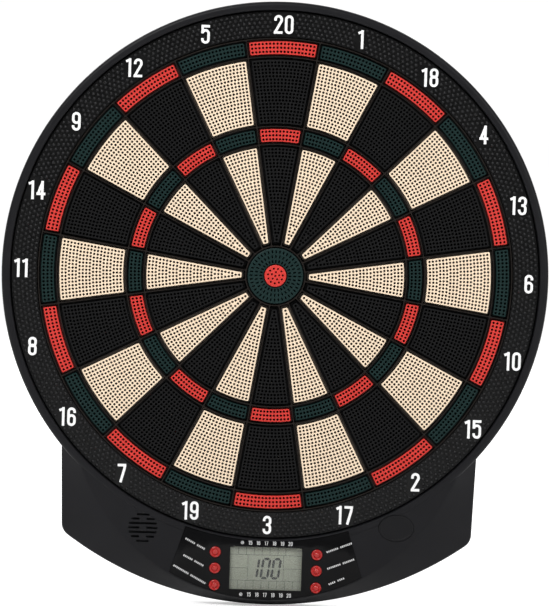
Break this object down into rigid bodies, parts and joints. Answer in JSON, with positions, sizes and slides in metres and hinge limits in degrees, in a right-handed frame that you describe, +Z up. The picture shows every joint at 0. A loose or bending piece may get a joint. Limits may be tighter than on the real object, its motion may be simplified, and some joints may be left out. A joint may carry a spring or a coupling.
{
  "type": "electronic dartboard",
  "caption": "Round wall-hung electronic soft-tip dartboard with perforated segments, a textured number ring and a console with display and push buttons.",
  "frame": {"origin": "on the flat back of the rear cover, on the axis of the bull", "axes": "+Y out of the back towards the wall, +Z up, the target faces -Y"},
  "size_m": [0.4598, 0.0306, 0.5102],
  "materials": {
    "housing": "fine satin grain",
    "number_ring": "matte with raised domes",
    "target_frame": "satin",
    "segment_black": "satin, perforated",
    "segment_cream": "satin, perforated",
    "segment_red": "satin, perforated",
    "segment_green": "satin, perforated",
    "gloss_plate": "polished",
    "print_white": "screen print",
    "clear_window": "clear",
    "display": "satin display glass",
    "button_red": "satin",
    "badge": "matte",
    "rubber": "matte",
    "membrane": "printed film",
    "backing": "pressed hardboard",
    "circuit_board": "solder resist",
    "speaker": "matte",
    "rear_cover": "fine satin grain",
    "battery_cell": "satin sleeve",
    "steel": "zinc plated"
  },
  "bodies": {
    "board": {"front_housing": "housing", "number_ring": "number_ring", "target_frame": "target_frame", "damper_sheet": "rubber", "switch_matrix": "membrane", "backing_plate": "backing", "membrane_tail": "membrane", "faceplate": "gloss_plate", "display_window": "clear_window", "display_glass": "display", "display_contact_strip": "rubber", "keypad_left": "rubber", "keypad_right": "rubber", "main_board": "circuit_board", "speaker": "speaker", "badge_blank": "badge", "rear_cover": "rear_cover", "battery_cell_1": "battery_cell", "battery_cell_2": "battery_cell", "battery_cell_3": "battery_cell", "battery_contact_left": "steel", "battery_contact_right": "steel", "cover_screw_1": "steel", "cover_screw_2": "steel", "cover_screw_3": "steel", "cover_screw_4": "steel", "cover_screw_5": "steel", "cover_screw_6": "steel", "cover_screw_7": "steel", "cover_screw_8": "steel"},
    "sector_20": {"sector_20": "segment_black"},
    "sector_1": {"sector_1": "segment_cream"},
    "sector_18": {"sector_18": "segment_black"},
    "sector_4": {"sector_4": "segment_cream"},
    "sector_13": {"sector_13": "segment_black"},
    "sector_6": {"sector_6": "segment_cream"},
    "sector_10": {"sector_10": "segment_black"},
    "sector_15": {"sector_15": "segment_cream"},
    "sector_2": {"sector_2": "segment_black"},
    "sector_17": {"sector_17": "segment_cream"},
    "sector_3": {"sector_3": "segment_black"},
    "sector_19": {"sector_19": "segment_cream"},
    "sector_7": {"sector_7": "segment_black"},
    "sector_16": {"sector_16": "segment_cream"},
    "sector_8": {"sector_8": "segment_black"},
    "sector_11": {"sector_11": "segment_cream"},
    "sector_14": {"sector_14": "segment_black"},
    "sector_9": {"sector_9": "segment_cream"},
    "sector_12": {"sector_12": "segment_black"},
    "sector_5": {"sector_5": "segment_cream"},
    "bull_outer": {"bull_outer": "segment_green"},
    "bull_inner": {"bull_inner": "segment_red"},
    "button_left_top": {"button_left_top": "button_red"},
    "button_left_middle": {"button_left_middle": "button_red"},
    "button_left_bottom": {"button_left_bottom": "button_red"},
    "button_right_top": {"button_right_top": "button_red"},
    "button_right_middle": {"button_right_middle": "button_red"},
    "button_right_bottom": {"button_right_bottom": "button_red"},
    "battery_door": {"battery_door": "rear_cover"}
  },
  "joints": [
    {"name": "press_sector_20", "type": "slide", "parent": "board", "child": "sector_20", "axis": [0, 1, 0], "range_m": [0, 0.0012], "stiffness_N_per_m": 4000},
    {"name": "press_sector_1", "type": "slide", "parent": "board", "child": "sector_1", "axis": [0, 1, 0], "range_m": [0, 0.0012], "stiffness_N_per_m": 4000},
    {"name": "press_sector_18", "type": "slide", "parent": "board", "child": "sector_18", "axis": [0, 1, 0], "range_m": [0, 0.0012], "stiffness_N_per_m": 4000},
    {"name": "press_sector_4", "type": "slide", "parent": "board", "child": "sector_4", "axis": [0, 1, 0], "range_m": [0, 0.0012], "stiffness_N_per_m": 4000},
    {"name": "press_sector_13", "type": "slide", "parent": "board", "child": "sector_13", "axis": [0, 1, 0], "range_m": [0, 0.0012], "stiffness_N_per_m": 4000},
    {"name": "press_sector_6", "type": "slide", "parent": "board", "child": "sector_6", "axis": [0, 1, 0], "range_m": [0, 0.0012], "stiffness_N_per_m": 4000},
    {"name": "press_sector_10", "type": "slide", "parent": "board", "child": "sector_10", "axis": [0, 1, 0], "range_m": [0, 0.0012], "stiffness_N_per_m": 4000},
    {"name": "press_sector_15", "type": "slide", "parent": "board", "child": "sector_15", "axis": [0, 1, 0], "range_m": [0, 0.0012], "stiffness_N_per_m": 4000},
    {"name": "press_sector_2", "type": "slide", "parent": "board", "child": "sector_2", "axis": [0, 1, 0], "range_m": [0, 0.0012], "stiffness_N_per_m": 4000},
    {"name": "press_sector_17", "type": "slide", "parent": "board", "child": "sector_17", "axis": [0, 1, 0], "range_m": [0, 0.0012], "stiffness_N_per_m": 4000},
    {"name": "press_sector_3", "type": "slide", "parent": "board", "child": "sector_3", "axis": [0, 1, 0], "range_m": [0, 0.0012], "stiffness_N_per_m": 4000},
    {"name": "press_sector_19", "type": "slide", "parent": "board", "child": "sector_19", "axis": [0, 1, 0], "range_m": [0, 0.0012], "stiffness_N_per_m": 4000},
    {"name": "press_sector_7", "type": "slide", "parent": "board", "child": "sector_7", "axis": [0, 1, 0], "range_m": [0, 0.0012], "stiffness_N_per_m": 4000},
    {"name": "press_sector_16", "type": "slide", "parent": "board", "child": "sector_16", "axis": [0, 1, 0], "range_m": [0, 0.0012], "stiffness_N_per_m": 4000},
    {"name": "press_sector_8", "type": "slide", "parent": "board", "child": "sector_8", "axis": [0, 1, 0], "range_m": [0, 0.0012], "stiffness_N_per_m": 4000},
    {"name": "press_sector_11", "type": "slide", "parent": "board", "child": "sector_11", "axis": [0, 1, 0], "range_m": [0, 0.0012], "stiffness_N_per_m": 4000},
    {"name": "press_sector_14", "type": "slide", "parent": "board", "child": "sector_14", "axis": [0, 1, 0], "range_m": [0, 0.0012], "stiffness_N_per_m": 4000},
    {"name": "press_sector_9", "type": "slide", "parent": "board", "child": "sector_9", "axis": [0, 1, 0], "range_m": [0, 0.0012], "stiffness_N_per_m": 4000},
    {"name": "press_sector_12", "type": "slide", "parent": "board", "child": "sector_12", "axis": [0, 1, 0], "range_m": [0, 0.0012], "stiffness_N_per_m": 4000},
    {"name": "press_sector_5", "type": "slide", "parent": "board", "child": "sector_5", "axis": [0, 1, 0], "range_m": [0, 0.0012], "stiffness_N_per_m": 4000},
    {"name": "press_bull_outer", "type": "slide", "parent": "board", "child": "bull_outer", "axis": [0, 1, 0], "range_m": [0, 0.0012], "stiffness_N_per_m": 2500},
    {"name": "press_bull_inner", "type": "slide", "parent": "board", "child": "bull_inner", "axis": [0, 1, 0], "range_m": [0, 0.0012], "stiffness_N_per_m": 2500},
    {"name": "press_button_left_top", "type": "slide", "parent": "board", "child": "button_left_top", "axis": [0, 1, 0], "range_m": [0, 0.0009], "stiffness_N_per_m": 1200},
    {"name": "press_button_left_middle", "type": "slide", "parent": "board", "child": "button_left_middle", "axis": [0, 1, 0], "range_m": [0, 0.0009], "stiffness_N_per_m": 1200},
    {"name": "press_button_left_bottom", "type": "slide", "parent": "board", "child": "button_left_bottom", "axis": [0, 1, 0], "range_m": [0, 0.0009], "stiffness_N_per_m": 1200},
    {"name": "press_button_right_top", "type": "slide", "parent": "board", "child": "button_right_top", "axis": [0, 1, 0], "range_m": [0, 0.0009], "stiffness_N_per_m": 1200},
    {"name": "press_button_right_middle", "type": "slide", "parent": "board", "child": "button_right_middle", "axis": [0, 1, 0], "range_m": [0, 0.0009], "stiffness_N_per_m": 1200},
    {"name": "press_button_right_bottom", "type": "slide", "parent": "board", "child": "button_right_bottom", "axis": [0, 1, 0], "range_m": [0, 0.0009], "stiffness_N_per_m": 1200},
    {"name": "battery_door_off", "type": "slide", "parent": "board", "child": "battery_door", "axis": [0, 1, 0], "range_m": [0, 0.025]}
  ]
}
